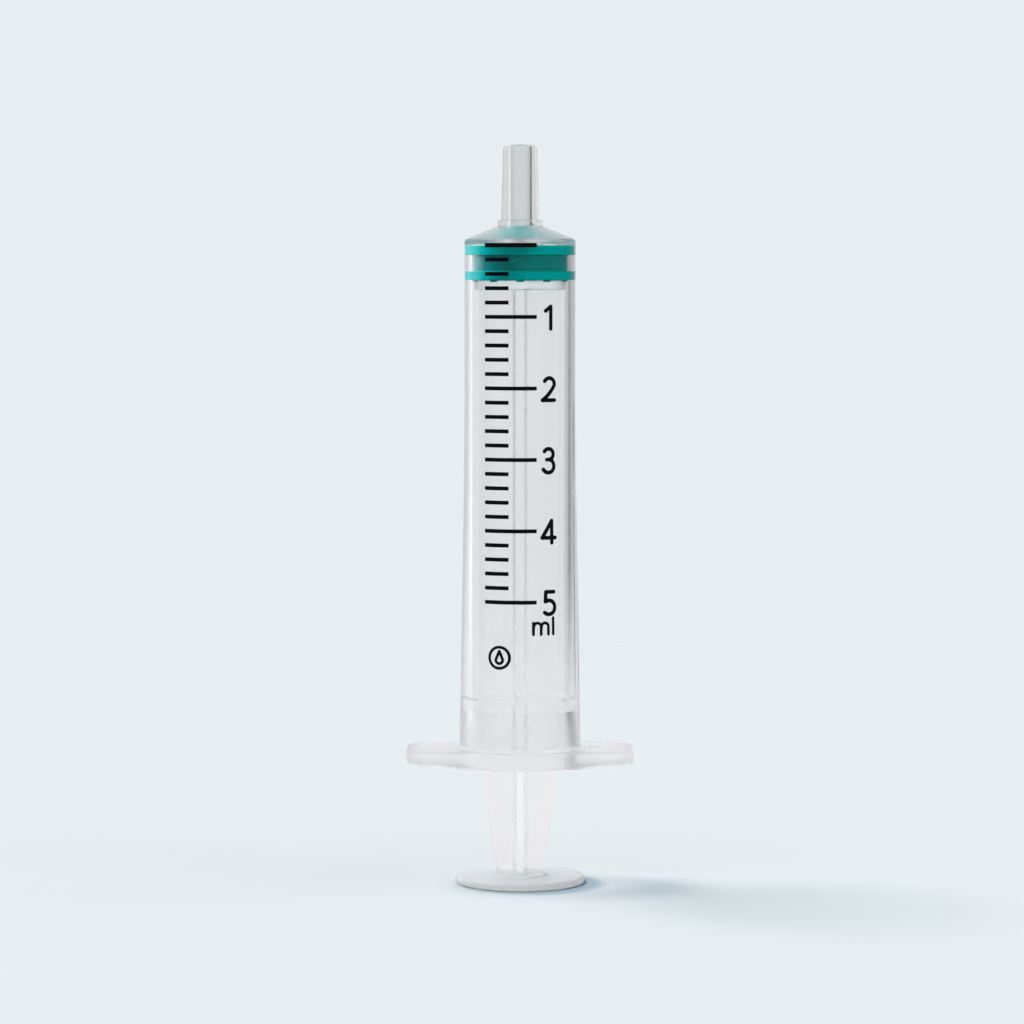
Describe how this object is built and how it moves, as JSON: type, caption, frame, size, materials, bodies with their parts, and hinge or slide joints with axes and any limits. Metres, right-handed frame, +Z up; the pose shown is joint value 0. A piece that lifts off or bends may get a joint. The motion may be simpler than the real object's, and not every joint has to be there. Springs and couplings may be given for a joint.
{
  "type": "oral syringe",
  "caption": "Clear oral syringe with a slip-tip nozzle, finger flange, printed scale, elastomer stopper and finned plunger rod with a thumb disc.",
  "frame": {"origin": "centre of the underside of the thumb disc, on the axis of the syringe", "axes": "+Z up along the axis to the nozzle, X along the finger flange's wings, -Y towards the viewer of the printed scale"},
  "size_m": [0.0282, 0.0176, 0.0915],
  "materials": {
    "clear_polypropylene": "clear moulded polypropylene, glossy with a slight haze",
    "frosted_polypropylene": "natural moulded polypropylene, translucent and satin",
    "teal_elastomer": "smooth teal elastomer, lightly siliconed",
    "black_ink": "matt black pad-printed ink"
  },
  "bodies": {
    "barrel": {"barrel": "clear_polypropylene", "printed_scale": "black_ink"},
    "stopper": {"stopper": "teal_elastomer"},
    "plunger_rod": {"plunger_rod": "frosted_polypropylene"}
  },
  "joints": [
    {"name": "plunger_slide", "type": "slide", "parent": "barrel", "child": "stopper", "axis": [0, 0, -1], "range_m": [0, 0.0511]},
    {"name": "rod_turn", "type": "hinge", "parent": "stopper", "child": "plunger_rod", "pos_m": [0, 0, 0.0752], "axis": [0, 0, 1], "continuous": true}
  ]
}
